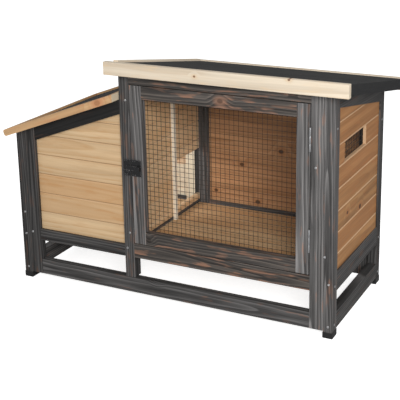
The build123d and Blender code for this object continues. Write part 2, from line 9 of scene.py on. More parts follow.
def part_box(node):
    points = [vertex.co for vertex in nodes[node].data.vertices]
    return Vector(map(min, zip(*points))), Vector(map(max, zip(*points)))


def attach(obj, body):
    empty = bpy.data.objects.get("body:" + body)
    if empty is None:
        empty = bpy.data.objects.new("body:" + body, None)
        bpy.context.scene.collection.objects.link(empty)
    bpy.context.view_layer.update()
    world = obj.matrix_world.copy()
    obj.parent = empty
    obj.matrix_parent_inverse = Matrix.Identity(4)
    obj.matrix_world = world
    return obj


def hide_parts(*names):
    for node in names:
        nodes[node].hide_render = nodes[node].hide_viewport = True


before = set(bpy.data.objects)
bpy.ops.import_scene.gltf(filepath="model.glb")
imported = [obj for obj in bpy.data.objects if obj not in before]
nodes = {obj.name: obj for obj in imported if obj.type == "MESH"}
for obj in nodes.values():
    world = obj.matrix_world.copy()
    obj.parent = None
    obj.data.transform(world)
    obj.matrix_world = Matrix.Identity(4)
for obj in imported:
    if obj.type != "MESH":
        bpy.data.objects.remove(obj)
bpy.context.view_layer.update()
mm = 0.001
print("frame loaded:", len(nodes), "nodes")


def addObject(name, data):
    thing = bpy.data.objects.new(name, data)
    bpy.context.collection.objects.link(thing)
    return thing


# Camera

camera = {
    "place": (1.4770, -2.8481, 1.4460),
    "turn": 25.72,           # degrees round to the right of straight ahead
    "drop": 15.27,           # degrees below level
    "roll": -0.60,
    "lens": 88.6, "sensor": 36, "farthest": 50,
    "shift": (-0.08, -0.20),
}


def setCamera():
    data = bpy.data.cameras.new("hutchCamera")
    data.lens = camera["lens"]
    data.sensor_width = camera["sensor"]
    data.shift_x, data.shift_y = camera["shift"]
    data.clip_end = camera["farthest"]
    viewer = addObject("hutchCamera", data)
    turn = math.radians(camera["turn"])
    drop = math.radians(camera["drop"])
    ahead = Vector((-math.sin(turn) * math.cos(drop), math.cos(turn) * math.cos(drop),
                    -math.sin(drop)))
    roll = Quaternion((0, 0, 1), math.radians(camera["roll"]))
    viewer.location = camera["place"]
    viewer.rotation_mode = "QUATERNION"
    viewer.rotation_quaternion = ahead.to_track_quat("-Z", "Y") @ roll
    bpy.context.scene.camera = viewer


setCamera()
print("camera placed")


# Node helpers

layout = {"column": 210, "row": 190}


def put(tree, kind, inputs=None, **settings):
    node = tree.nodes.new(kind)
    for key, value in settings.items():
        setattr(node, key, value)
    for key, value in (inputs or {}).items():
        if isinstance(value, bpy.types.NodeSocket):
            tree.links.new(value, node.inputs[key])
        else:
            node.inputs[key].default_value = value
    return node


def maths(tree, operation, a, b=0.0, clamp=False):
    return put(tree, "ShaderNodeMath", {0: a, 1: b}, operation=operation,
               use_clamp=clamp).outputs[0]


def plus(tree, a, b, clamp=False):
    return maths(tree, "ADD", a, b, clamp)


def minus(tree, a, b):
    return maths(tree, "SUBTRACT", a, b)


def times(tree, a, b, clamp=False):
    return maths(tree, "MULTIPLY", a, b, clamp)


def vectors(tree, operation, a, b):
    return put(tree, "ShaderNodeVectorMath", {0: a, 1: b}, operation=operation).outputs[0]


def parted(tree, vector):
    return put(tree, "ShaderNodeSeparateXYZ", {0: vector}).outputs


def combined(tree, x, y, z=0.0):
    return put(tree, "ShaderNodeCombineXYZ", {0: x, 1: y, 2: z}).outputs[0]


def surfaceNormal(tree, kind="Normal"):
    return parted(tree, put(tree, "ShaderNodeNewGeometry").outputs[kind])


def mixed(tree, amount, a, b, blend="MIX"):
    return put(tree, "ShaderNodeMix", {0: amount, 6: a, 7: b}, data_type="RGBA",
               blend_type=blend).outputs[2]


def ramped(tree, value, low, high, toLow=0.0, toHigh=1.0):
    return put(tree, "ShaderNodeMapRange", {0: value, 1: low, 2: high, 3: toLow, 4: toHigh},
               interpolation_type="SMOOTHSTEP").outputs[0]


def lined(tree, value, low, high, toLow=0.0, toHigh=1.0):
    return put(tree, "ShaderNodeMapRange",
               {0: value, 1: low, 2: high, 3: toLow, 4: toHigh}).outputs[0]


def noise(tree, where, scale, detail):
    return put(tree, "ShaderNodeTexNoise",
               {"Vector": where, "Scale": scale, "Detail": detail}).outputs


def stretchedNoise(tree, where, stretch, detail):
    return noise(tree, vectors(tree, "MULTIPLY", where, stretch), 1.0, detail)


def randomFrom(tree, seed):
    return put(tree, "ShaderNodeTexWhiteNoise", {"W": seed},
               noise_dimensions="1D").outputs["Value"]


def firstChannel(tree, tint):
    return put(tree, "ShaderNodeSeparateColor", {0: tint}).outputs[0]


def colour(rgb):
    return (*rgb, 1.0)


def arrange(tree):
    # columns by how far each node is from the start of the chain
    depth = {node: 0 for node in tree.nodes}
    for _ in range(len(tree.nodes)):
        moved = False
        for wire in tree.links:
            if depth[wire.to_node] <= depth[wire.from_node]:
                depth[wire.to_node] = depth[wire.from_node] + 1
                moved = True
        if not moved:
            break
    rows = {}
    for node in tree.nodes:
        row = rows.get(depth[node], 0)
        rows[depth[node]] = row + 1
        node.location = (depth[node] * layout["column"], -row * layout["row"])


def newMaterial(name):
    material = bpy.data.materials.new(name)
    material.use_nodes = True
    material.node_tree.nodes.clear()
    return material, material.node_tree


def newGroup(name, inputs, outputs):
    tree = bpy.data.node_groups.new(name, "ShaderNodeTree")
    kinds = {"value": "NodeSocketFloat", "vector": "NodeSocketVector"}
    for label, kind, start in inputs:
        socket = tree.interface.new_socket(label, in_out="INPUT", socket_type=kinds[kind])
        if start is not None:
            socket.default_value = start
    for label, kind in outputs:
        tree.interface.new_socket(label, in_out="OUTPUT", socket_type=kinds[kind])
    return tree, put(tree, "NodeGroupInput").outputs, put(tree, "NodeGroupOutput").inputs


def useGroup(tree, group, inputs):
    return put(tree, "ShaderNodeGroup", inputs, node_tree=group).outputs


# Shared effects

grainShape = {               # a stretch is repeats a metre along, across and through
    "seedShift": (7.31, 3.77, 5.13),
    "driftStretch": (1.7, 7.0, 7.0),
    "fibreStretch": (9.0, 420.0, 420.0), "fibreSpan": (0.3, 0.7),
    "toneStretch": (2.3, 52.0, 52.0), "toneSpan": (0.30, 0.70),
    "patchStretch": (13.0, 75.0, 75.0), "patchSpan": (0.25, 0.75),
    "knotCells": 6.0, "knotCore": (0.035, 0.065), "knotReach": 0.24, "knotSwell": 0.016,
    "heartAside": 0.05,      # how far to one side the heart may lie, in metres
    "taper": 0.012,
    "ringRise": 2.2, "ringEnd": 0.90,
    "ringRelief": 0.6, "fibreRelief": 0.5, "knotRelief": 0.3,
}


def makeTimberGroup():
    # coordinates: X along the grain, Y across the face, Z through the timber, in metres
    tree, given, result = newGroup(
        "timberGrain",
        [("Coordinates", "vector", None), ("Seed", "value", 0.0),
         ("Ring Spacing", "value", 0.005), ("Waviness", "value", 0.012),
         ("Heart", "value", 0.05), ("Knots", "value", 0.3), ("Swell", "value", 0.0)],
        [("Rings", "value"), ("Fibres", "value"), ("Knot", "value"), ("Tone", "value"),
         ("Patch", "value"), ("Relief", "value")])
    seed = given["Seed"]
    shift = combined(tree, *[times(tree, seed, step) for step in grainShape["seedShift"]])
    where = vectors(tree, "ADD", given["Coordinates"], shift)
    slow = stretchedNoise(tree, where, grainShape["driftStretch"], 2.0)["Color"]
    drift = put(tree, "ShaderNodeVectorMath", {
        0: vectors(tree, "SUBTRACT", slow, (0.5, 0.5, 0.5)),
        "Scale": given["Waviness"]}, operation="SCALE").outputs[0]
    # knots are rods through the timber, kept in only some of the cells
    drifted = vectors(tree, "ADD", where, drift)
    face = parted(tree, drifted)
    cells = put(tree, "ShaderNodeTexVoronoi", {
        "Vector": combined(tree, face[0], face[1]), "Scale": grainShape["knotCells"]},
        voronoi_dimensions="2D").outputs
    kept = maths(tree, "LESS_THAN", firstChannel(tree, cells["Color"]), given["Knots"])
    far = cells["Distance"]
    core = times(tree, ramped(tree, far, *grainShape["knotCore"], 1.0, 0.0), kept)
    bulge = times(tree, ramped(tree, far, 0.0, grainShape["knotReach"],
                               grainShape["knotSwell"], 0.0), kept)
    # growth rings round a heart that lies below the face
    place = parted(tree, vectors(tree, "ADD", given["Coordinates"], drift))
    aside = minus(tree, randomFrom(tree, seed), 0.5)
    across = plus(tree, place[1], times(tree, aside, grainShape["heartAside"]))
    below = plus(tree, place[2], given["Heart"])
    radius = maths(tree, "SQRT", plus(tree, times(tree, across, across),
                                      times(tree, below, below)))
    radius = plus(tree, radius, plus(tree, bulge, given["Swell"]))
    radius = plus(tree, radius, times(tree, place[0], grainShape["taper"]))
    phase = maths(tree, "FRACT", maths(tree, "DIVIDE", radius, given["Ring Spacing"]))
    rings = times(tree, maths(tree, "POWER", phase, grainShape["ringRise"]),
                  ramped(tree, phase, grainShape["ringEnd"], 1.0, 1.0, 0.0))
    fine = stretchedNoise(tree, where, grainShape["fibreStretch"], 3.0)[0]
    tone = stretchedNoise(tree, where, grainShape["toneStretch"], 3.0)[0]
    patch = stretchedNoise(tree, drifted, grainShape["patchStretch"], 2.0)[0]
    relief = plus(tree, times(tree, rings, grainShape["ringRelief"]),
                  times(tree, fine, grainShape["fibreRelief"]))
    relief = minus(tree, relief, times(tree, core, grainShape["knotRelief"]))
    for label, value in (("Rings", rings), ("Knot", core), ("Relief", relief),
                         ("Fibres", lined(tree, fine, *grainShape["fibreSpan"])),
                         ("Tone", lined(tree, tone, *grainShape["toneSpan"])),
                         ("Patch", lined(tree, patch, *grainShape["patchSpan"]))):
        tree.links.new(value, result[label])
    arrange(tree)
    return tree


knotShape = {                # distances in knot sizes
    "stretch": (0.75, 1.0, 0.0),
    "core": (0.6, 1.0), "halo": (0.9, 2.6),
    "swellReach": 4.5, "swell": 1.7,
}


def makeKnotGroup():
    # one knot at a chosen place on the face
    tree, given, result = newGroup(
        "placedKnot",
        [("Coordinates", "vector", None), ("Place", "vector", (0.0, 0.0, 0.0)),
         ("Size", "value", 0.008)],
        [("Knot", "value"), ("Halo", "value"), ("Swell", "value")])
    away = vectors(tree, "SUBTRACT", given["Coordinates"], given["Place"])
    away = vectors(tree, "MULTIPLY", away, knotShape["stretch"])
    far = maths(tree, "DIVIDE", put(tree, "ShaderNodeVectorMath", {0: away},
                                    operation="LENGTH").outputs[1], given["Size"])
    swell = ramped(tree, far, 0.0, knotShape["swellReach"], knotShape["swell"], 0.0)
    tree.links.new(ramped(tree, far, *knotShape["core"], 1.0, 0.0), result["Knot"])
    tree.links.new(ramped(tree, far, *knotShape["halo"], 1.0, 0.0), result["Halo"])
    tree.links.new(times(tree, swell, given["Size"]), result["Swell"])
    arrange(tree)
    return tree


boardSeedStep = 1.37


def makeStackGroup():
    # a wall of equal boards: local coordinates and a number for each board
    tree, given, result = newGroup(
        "boardStack",
        [("Coordinates", "vector", None), ("First Joint", "value", 0.0),
         ("Board Width", "value", 0.069), ("Seed", "value", 0.0)],
        [("Coordinates", "vector"), ("Seed", "value"), ("Board", "value")])
    place = parted(tree, given["Coordinates"])
    row = maths(tree, "DIVIDE", minus(tree, place[1], given["First Joint"]),
                given["Board Width"])
    number = maths(tree, "FLOOR", row)
    seed = plus(tree, times(tree, number, boardSeedStep), given["Seed"])
    inside = times(tree, minus(tree, maths(tree, "FRACT", row), 0.5), given["Board Width"])
    tree.links.new(combined(tree, place[0], inside, place[2]), result["Coordinates"])
    tree.links.new(seed, result["Seed"])
    tree.links.new(randomFrom(tree, seed), result["Board"])
    arrange(tree)
    return tree


wearAndHighlightShape = {
    "samples": 4, "corner": (0.01, 0.22),
    "patchScale": 22.0, "patches": (0.35, 0.65), "least": 0.25,
}


def makeWearGroup():
    # where the surface turns a corner, broken up by noise: real edge wear together with a painted
    # highlight along the edges
    tree, given, result = newGroup(
        "edgeWearAndHighlight",
        [("Coordinates", "vector", None), ("Radius", "value", 0.0015), ("Reach", "value", 0.6)],
        [("Mask", "value")])
    rounded = put(tree, "ShaderNodeBevel", {"Radius": given["Radius"]},
                  samples=wearAndHighlightShape["samples"]).outputs[0]
    plain = put(tree, "ShaderNodeNewGeometry").outputs["Normal"]
    same = put(tree, "ShaderNodeVectorMath", {0: rounded, 1: plain},
               operation="DOT_PRODUCT").outputs["Value"]
    corner = ramped(tree, minus(tree, 1.0, same), *wearAndHighlightShape["corner"])
    patches = noise(tree, given["Coordinates"], wearAndHighlightShape["patchScale"], 3.0)[0]
    broken = ramped(tree, patches, *wearAndHighlightShape["patches"], wearAndHighlightShape["least"], 1.0)
    tree.links.new(times(tree, corner, times(tree, broken, given["Reach"])), result["Mask"])
    arrange(tree)
    return tree


dustShape = {"facing": (0.3, 1.0), "patches": (0.3, 0.75)}


def makeDustGroup():
    # pale dust that settles on what faces up, and slow patches of tone
    tree, given, result = newGroup(
        "settledDust",
        [("Coordinates", "vector", None), ("Scale", "value", 9.0), ("Amount", "value", 0.3)],
        [("Mask", "value"), ("Patches", "value")])
    up = surfaceNormal(tree)[2]
    patches = noise(tree, given["Coordinates"], given["Scale"], 4.0)[0]
    lying = times(tree, ramped(tree, up, *dustShape["facing"]),
                  ramped(tree, patches, *dustShape["patches"]))
    tree.links.new(times(tree, lying, given["Amount"]), result["Mask"])
    tree.links.new(patches, result["Patches"])
    arrange(tree)
    return tree


timberGrain = makeTimberGroup()
placedKnot = makeKnotGroup()
boardStack = makeStackGroup()
edgeWearAndHighlight = makeWearGroup()
settledDust = makeDustGroup()
print("shared effects made")


# Timber

stain = {                    # charcoal stain on softwood
    "early": (0.026, 0.025, 0.0245),
    "late": (0.175, 0.168, 0.165),
    "warm": (0.260, 0.130, 0.080),
    "knot": (0.020, 0.014, 0.011),
    "wornAndHighlit": (0.30, 0.285, 0.27),
    "boardShade": 0.0,
    "ringSpacing": 0.0080, "waviness": 0.026, "heart": 0.030, "knots": 0.20, "knotDepth": 0.5,
    "roughness": (0.50, 0.70), "gloss": 0.25, "relief": 0.35, "wearAndHighlight": 0.45,
    "warmth": 0.50, "warmFrom": 0.68, "streak": 0.45,
}

railStain = dict(stain, late=(0.165, 0.140, 0.122), warm=(0.330, 0.175, 0.112), warmth=0.80,
                 warmFrom=0.58, waviness=0.042, knots=0.35)

# near black, painted shade: the main roof's battens and the nest's top rail lie in shadow under
# the roofs
paintedShadeStain = dict(stain, early=(0.012, 0.012, 0.012), late=(0.022, 0.022, 0.022),
                 wornAndHighlit=(0.04, 0.04, 0.04), warmth=0.1, streak=0.3)

board = {                    # pale planed pine
    "early": (0.705, 0.515, 0.310),
    "late": (0.580, 0.370, 0.188),
    "warm": (0.58, 0.320, 0.140),
    "knot": (0.17, 0.062, 0.022),
    "wornAndHighlit": (0.74, 0.55, 0.34),
    "boardShade": 0.60,
    "ringSpacing": 0.0085, "waviness": 0.016, "heart": 0.060, "knots": 0.0, "knotDepth": 0.85,
    "roughness": (0.50, 0.64), "gloss": 0.35, "relief": 0.16, "wearAndHighlight": 0.6,
    # the last two are a painted highlight on the board chamfers that face up and painted shade on
    # those that face down
    "warmth": 0.35, "warmFrom": 0.55, "streak": 0.12, "chamferHighlight": 0.15, "jointShade": 0.55,
}

brownBoard = dict(board, early=(0.50, 0.285, 0.145), late=(0.34, 0.170, 0.076),
                  knot=(0.050, 0.022, 0.010),
                  warm=(0.38, 0.175, 0.072), wornAndHighlit=(0.60, 0.40, 0.22), boardShade=0.35,
                  knots=0.12, streak=0.25)

# the right end's boards: darker brown, partly the wood's own tone and partly painted shade on
# this side, with strong painted highlights on their edges and chamfers
endBoardShadeAndHighlight = dict(brownBoard, early=(0.45, 0.245, 0.100), late=(0.30, 0.145, 0.052),
                warm=(0.44, 0.180, 0.062), wornAndHighlit=(0.80, 0.56, 0.35), boardShade=0.55, wearAndHighlight=1.0,
                streak=0.35, chamferHighlight=0.60, jointShade=0.60)

# a brighter copy of the pale pine, painted light on the partition where the key light falls
# through the door
litPartitionBoard = dict(board, early=(0.86, 0.640, 0.400), late=(0.70, 0.460, 0.245),
                   warm=(0.74, 0.450, 0.220), wornAndHighlit=(0.92, 0.74, 0.52))

floorBoard = dict(board, early=(0.76, 0.550, 0.330), late=(0.62, 0.395, 0.200))

nestBack = dict(board, early=(0.74, 0.68, 0.54), late=(0.66, 0.57, 0.42), knots=0.08)

trim = dict(board, early=(0.80, 0.695, 0.550), late=(0.68, 0.550, 0.400),
            warm=(0.78, 0.590, 0.380), wornAndHighlit=(0.88, 0.81, 0.70), boardShade=0.0, warmth=0.45)

# trim pine made nearly white, painted light on the pop hole's batten where it catches the key
# light
highlitBattenPine = dict(trim, early=(0.97, 0.90, 0.76), late=(0.88, 0.76, 0.58))

lidTrim = dict(trim, early=(0.64, 0.410, 0.215), late=(0.53, 0.300, 0.140),
               warm=(0.60, 0.250, 0.120), wornAndHighlit=(0.74, 0.56, 0.36), knots=0.08,
               knotDepth=0.35, sawn=(0.72, 0.62, 0.46))

plywood = dict(board, early=(0.50, 0.34, 0.19), late=(0.42, 0.26, 0.13),
               ringSpacing=0.020, waviness=0.05, heart=0.02, knots=0.05, boardShade=0.0)

axisNumber = {"X": 0, "Y": 1, "Z": 2}


timberMix = {
    "rings": 0.75, "fibres": 0.35,                     # how far each leads to late wood
    "patchFade": 0.22, "patchRings": (0.0, 0.6), "patchLeast": 0.25,
    "halo": 0.6, "edgeRadius": 1.6 * mm, "reliefDepth": 0.6 * mm,
    "chamfer": (0.80, 0.93), "underside": -0.2,        # by the surface's normal
    "endGrain": 0.97, "endPale": 0.85, "frontFace": -0.5,
}


def grainFrame(tree, axes, centre, tilt):
    # turns the piece's own coordinates so that X runs along the grain
    own = put(tree, "ShaderNodeTexCoord").outputs["Object"]
    near = vectors(tree, "SUBTRACT", own, tuple(centre))
    turned = put(tree, "ShaderNodeVectorRotate", {
        "Vector": near, "Rotation": tuple(math.radians(a) for a in tilt)},
        rotation_type="EULER_XYZ").outputs[0]
    parts = parted(tree, turned)
    return own, combined(tree, *[parts[axisNumber[axis]] for axis in axes])


def pastFrameEdge(tree, own, frameEdge):
    # 1 on the battens that run down the slope, beyond the deck's sides
    side = minus(tree, parted(tree, own)[1], frameEdge["middle"])
    return maths(tree, "GREATER_THAN", maths(tree, "ABSOLUTE", side), frameEdge["half"])


def chamferLightAndShade(tree, tint, look, axes):
    # painted highlight on the chamfers and sawn edges of the boards that face up, painted shade
    # on those that face down
    normal = surfaceNormal(tree)
    slant = ramped(tree, maths(tree, "ABSOLUTE", normal[axisNumber[axes[2]]]),
                   *timberMix["chamfer"], 1.0, 0.0)
    under = maths(tree, "LESS_THAN", normal[axisNumber[axes[1]]], timberMix["underside"])
    pale = times(tree, slant, minus(tree, 1.0, under))
    shaded = times(tree, slant, under)
    tint = mixed(tree, times(tree, pale, look["chamferHighlight"]), tint, colour(look["wornAndHighlit"]))
    # the knot colour stands in here for painted shade
    return mixed(tree, times(tree, shaded, look["jointShade"]), tint, colour(look["knot"]))


def timberMaterial(name, look, axes, centre=(0, 0, 0), tilt=(0, 0, 0), seed=0.0, stack=None,
                   knots=(), frameEdge=None, depth=1.0, paleFrontLook=None):
    material, tree = newMaterial(name)
    own, place = grainFrame(tree, axes, centre, tilt)
    if frameEdge:
        _, crossed = grainFrame(tree, frameEdge["axes"], centre, tilt)
        beyond = pastFrameEdge(tree, own, frameEdge)
        place = put(tree, "ShaderNodeMix", {0: beyond, 4: crossed, 5: place},
                    data_type="VECTOR").outputs[1]
    number, shade = seed, 0.5
    whole = place
    if stack:
        rows = useGroup(tree, boardStack, {"Coordinates": place, "First Joint": stack["first"],
                                           "Board Width": stack["width"], "Seed": seed})
        place, number, shade = rows["Coordinates"], rows["Seed"], rows["Board"]
    swell = knotMask = halo = 0.0
    for x, y, size in knots:
        spot = useGroup(tree, placedKnot, {"Coordinates": whole, "Place": (x, y, 0.0),
                                           "Size": size})
        swell = plus(tree, swell, spot["Swell"])
        knotMask = maths(tree, "MAXIMUM", knotMask, spot["Knot"])
        halo = maths(tree, "MAXIMUM", halo, spot["Halo"])
    grain = useGroup(tree, timberGrain, {
        "Coordinates": place, "Seed": number, "Ring Spacing": look["ringSpacing"],
        "Waviness": look["waviness"], "Heart": look["heart"], "Knots": look["knots"],
        "Swell": swell})
    wearAndHighlight = useGroup(tree, edgeWearAndHighlight, {"Coordinates": own, "Radius": timberMix["edgeRadius"],
                                     "Reach": look["wearAndHighlight"]})
    blend = plus(tree, times(tree, grain["Rings"], timberMix["rings"]),
                 times(tree, grain["Fibres"], timberMix["fibres"]), clamp=True)
    tint = mixed(tree, blend, colour(look["early"]), colour(look["late"]))
    streak = lined(tree, grain["Tone"], 0.0, 1.0, 1 - look["streak"], 1 + look["streak"])
    tint = vectors(tree, "MULTIPLY", tint, combined(tree, streak, streak, streak))
    patch = ramped(tree, grain["Patch"], look["warmFrom"],
                   look["warmFrom"] + timberMix["patchFade"])
    patch = times(tree, patch, lined(tree, grain["Rings"], *timberMix["patchRings"],
                                     timberMix["patchLeast"], 1.0), clamp=True)
    warmth = times(tree, patch, look["warmth"])
    if look["boardShade"]:
        warmth = plus(tree, warmth, times(tree, shade, look["boardShade"]), clamp=True)
    tint = mixed(tree, warmth, tint, colour(look["warm"]))
    knot = grain["Knot"]
    if knots:
        tint = mixed(tree, times(tree, halo, timberMix["halo"]), tint, colour(look["warm"]))
        knot = maths(tree, "MAXIMUM", knot, knotMask)
    tint = mixed(tree, times(tree, knot, look["knotDepth"]), tint, colour(look["knot"]))
    # the worn colour on the edges is part real wear and part painted highlight
    tint = mixed(tree, wearAndHighlight["Mask"], tint, colour(look["wornAndHighlit"]))
    if depth != 1.0:         # painted light and shade: the piece is made lighter or darker as the light falls on it
        tint = mixed(tree, 1.0, tint, colour((depth, depth, depth)), "MULTIPLY")
    if stack:
        tint = chamferLightAndShade(tree, tint, look, axes)
    if frameEdge:            # pale sawn ends at the top of the slope
        ends = maths(tree, "GREATER_THAN", surfaceNormal(tree, "True Normal")[0],
                     timberMix["endGrain"])
        tint = mixed(tree, times(tree, times(tree, ends, beyond), timberMix["endPale"]), tint,
                     colour(look["sawn"]))
    if paleFrontLook:           # the face towards the front takes the pale colour of the nest's back boards
        paleFront = mixed(tree, blend, colour(paleFrontLook["early"]), colour(paleFrontLook["late"]))
        tint = mixed(tree, maths(tree, "LESS_THAN", surfaceNormal(tree)[1],
                                 timberMix["frontFace"]), tint, paleFront)
    bump = put(tree, "ShaderNodeBump", {
        "Strength": look["relief"], "Distance": timberMix["reliefDepth"],
        "Height": grain["Relief"]}).outputs[0]
    shader = put(tree, "ShaderNodeBsdfPrincipled", {
        "Base Color": tint, "Normal": bump, "Specular IOR Level": look["gloss"],
        "Roughness": lined(tree, grain["Fibres"], 0.0, 1.0, *look["roughness"])})
    put(tree, "ShaderNodeOutputMaterial", {0: shader.outputs[0]})
    arrange(tree)
    return material


# CAD pieces

def solidBoxes(name):
    # (low, high) corners of each separate solid of a node
    shape = bmesh.new()
    shape.from_mesh(nodes[name].data)
    bmesh.ops.remove_doubles(shape, verts=shape.verts, dist=1e-6)
    seen = set()
    boxes = []
    for start in shape.verts:
        if start.index in seen:
            continue
        seen.add(start.index)
        queue = [start]
        found = []
        while queue:
            vert = queue.pop()
            found.append(vert.co.copy())
            for edge in vert.link_edges:
                other = edge.other_vert(vert)
                if other.index not in seen:
                    seen.add(other.index)
                    queue.append(other)
        low = Vector(map(min, zip(*found)))
        high = Vector(map(max, zip(*found)))
        boxes.append((low, high))
    shape.free()
    return boxes


def middle(name):
    low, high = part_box(name)
    return (low + high) / 2


edges = {                    # how far each kind of piece is rounded
    "timber": 1.1 * mm, "board": 0.4 * mm, "batten": 1.0 * mm, "felt": 0.6 * mm,
    "latch": 0.6 * mm, "hinge": 0.15 * mm, "foot": 1.2 * mm,
    "footSegments": 3, "segments": 2, "sharperThan": 35,
}


def eased(name, width, segments=edges["segments"]):
    # sharp edges of a CAD piece are rounded a little, as sanded or moulded ones are
    piece = nodes[name]
    weld = piece.modifiers.new("weld", "WELD")
    weld.merge_threshold = 1e-6
    bevel = piece.modifiers.new("easedEdges", "BEVEL")
    bevel.width = width
    bevel.segments = segments
    bevel.limit_method = "ANGLE"
    bevel.angle_limit = math.radians(edges["sharperThan"])


def dress(name, material):
    piece = nodes[name]
    piece.data.materials.clear()
    piece.data.materials.append(material)


slopes = {"roof": 10.4, "lid": 20.55}      # degrees
grainSeeds = {"timbers": 1.9, "walls": 40.3, "lid": 61.0}

# node: look, axes (along, across, through), options
timbers = {
    # depth is painted light and shade: it makes a piece lighter where the key light falls on it
    # and darker where it is in shade
    "right_front_leg": (stain, "ZXY", {"depth": 1.25}),
    "right_back_leg": (stain, "ZXY", {"depth": 0.62}),
    "left_front_leg": (stain, "ZXY", {"depth": 0.62}),
    "left_back_leg": (stain, "ZXY", {"depth": 0.55}),
    "front_mid_post": (stain, "ZXY", {"depth": 0.95}),
    "front_right_stile": (stain, "ZXY", {"depth": 1.6}),
    "nest_front_stile": (stain, "ZXY", {"depth": 0.6}),
    "back_stiles": (stain, "ZXY", {}),
    "back_mid_post": (stain, "ZXY", {"paleFrontLook": nestBack}),
    "cabin_back_stile": (stain, "ZXY", {}),
    "door_left_stile": (stain, "ZXY", {"depth": 1.6}),
    "door_right_stile": (stain, "ZXY", {"depth": 1.7}),
    "front_header": (railStain, "XZY", {}),
    "front_sill": (railStain, "XZY", {}),
    "front_lower_rail": (stain, "XZY", {}),
    "nest_front_mid_rail": (stain, "XZY", {"depth": 0.65}),
    "cabin_back_rails": (stain, "XZY", {}),
    "back_lower_rail": (stain, "XZY", {}),
    "nest_back_rails": (stain, "XZY", {}),
    "door_top_rail": (railStain, "XZY", {"knots": ((0.014, 0.001, 0.009),)}),
    "door_bottom_rail": (railStain, "XZY", {}),
    "floor_bearers": (stain, "XZY", {}),
    "nest_front_top_rail": (paintedShadeStain, "XZY", {"tilt": (0, slopes["lid"], 0)}),
    "right_end_rails": (stain, "YZX", {"depth": 0.78}),
    "left_end_rails": (stain, "YZX", {}),
    "nest_ledger": (stain, "YZX", {}),
    "partition_sill": (stain, "YZX", {}),
    "main_roof_battens": (paintedShadeStain, "YXZ", {}),
    "upper_left_board": (board, "YZX", {}),
    "pop_hole_batten": (highlitBattenPine, "ZYX", {}),
    "main_roof_front_fascia": (trim, "XZY", {"knots": ((-0.083, 0.002, 0.004),
                                                         (0.224, 0.019, 0.004))}),
    "main_roof_back_fascia": (trim, "XZY", {}),
    "main_roof_verge": (trim, "YXZ", {"tilt": (slopes["roof"], 0, 0)}),
    "main_roof_deck": (plywood, "XYZ", {"tilt": (slopes["roof"], 0, 0)}),
    "nest_lid_deck": (plywood, "YXZ", {"tilt": (0, slopes["lid"], 0)}),
}

# node: look, axes, knots (along, across, size in metres)
walls = {
    "nest_front_boards": (board, "XZY", ()),
    "nest_back_boards": (nestBack, "XZY", ()),
    "cabin_back_boards": (brownBoard, "XZY", ((-0.003, 0.0, 0.009), (-0.155, -0.066, 0.008),
                                              (-0.093, -0.200, 0.009), (-0.26, -0.178, 0.007))),
    "right_end_boards": (endBoardShadeAndHighlight, "YZX", ((0.024, -0.123, 0.010), (-0.098, -0.103, 0.007))),
    "left_end_boards": (dict(board, knots=0.08), "YZX", ()),
    "partition_boards": (litPartitionBoard, "YZX", ()),
    "nest_floor": (floorBoard, "XYZ", ()),
    "cabin_floor": (floorBoard, "XYZ", ()),
}


def dressTimbers():
    for count, (name, (look, axes, options)) in enumerate(timbers.items()):
        dress(name, timberMaterial(name + "Wood", look, axes, middle(name),
                                   seed=grainSeeds["timbers"] + count, **options))
        eased(name, edges["timber"])


def dressWalls():
    for count, (name, (look, axes, knots)) in enumerate(walls.items()):
        centre = middle(name)
        across = axisNumber[axes[1]]
        starts = sorted({round(low[across], 4) for low, _ in solidBoxes(name)})
        stack = {"first": starts[1] - centre[across], "width": starts[2] - starts[1]}
        dress(name, timberMaterial(name + "Wood", look, axes, centre, stack=stack, knots=knots,
                                   seed=grainSeeds["walls"] + count))
        eased(name, edges["board"])


def dressLidBattens():
    deckLow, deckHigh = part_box("nest_lid_deck")
    centre = middle("nest_lid_battens")
    frameEdge = {"axes": "YXZ", "middle": centre.y, "half": (deckHigh.y - deckLow.y) / 2}
    dress("nest_lid_battens", timberMaterial(
        "nestLidBattensWood", lidTrim, "XZY", centre, tilt=(0, slopes["lid"], 0),
        seed=grainSeeds["lid"], frameEdge=frameEdge, knots=((0.175, -0.001, 0.011),)))
    eased("nest_lid_battens", edges["batten"])


dressTimbers()
dressWalls()
dressLidBattens()
print("timber dressed")


# Roofing felt

felt = {
    "grit": (0.022, 0.022, 0.023),
    "gritPale": (0.060, 0.060, 0.059), "paleFrom": 0.55,
    "dust": (0.09, 0.086, 0.080), "dustScale": 7.0, "dustAmount": 0.20,
    "gritSize": 900.0, "gritHeight": 0.5,
    "rippleScale": 11.0, "rippleHeight": 3.0,
    "relief": 0.6, "reliefDepth": 0.6 * mm,
    "roughness": (0.70, 0.92), "gloss": 0.2,
}


